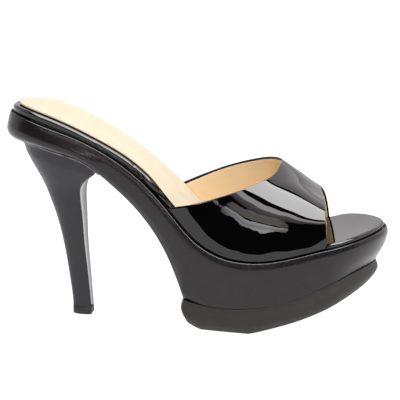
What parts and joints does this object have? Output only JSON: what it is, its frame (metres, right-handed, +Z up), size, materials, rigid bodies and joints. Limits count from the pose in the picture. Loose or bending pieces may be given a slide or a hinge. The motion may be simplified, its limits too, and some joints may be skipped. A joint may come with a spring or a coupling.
{
  "type": "platform stiletto mule",
  "caption": "Backless platform mule with an open toe, a patent vamp, a nude leather insole, a wrapped platform on a rocker outsole and a slim stiletto heel.",
  "frame": {"origin": "on the floor, at the middle of the shoe's length and width", "axes": "+X towards the toe, +Z up, -Y towards the outer side of this right shoe"},
  "size_m": [0.2232, 0.0854, 0.128],
  "materials": {
    "platform": "matte black smooth leather wrap",
    "outsole": "matte black moulded rubber",
    "heel": "satin black cover with a glossy breast",
    "heel_tip": "matte black",
    "footbed": "black patent",
    "insole": "nude soft leather",
    "upper": "black patent with a nude lining"
  },
  "bodies": {
    "root": {"platform": "platform", "outsole": "outsole", "heel": "heel", "heel_tip": "heel_tip", "footbed": "footbed", "insole": "insole", "upper": "upper"}
  },
  "joints": []
}
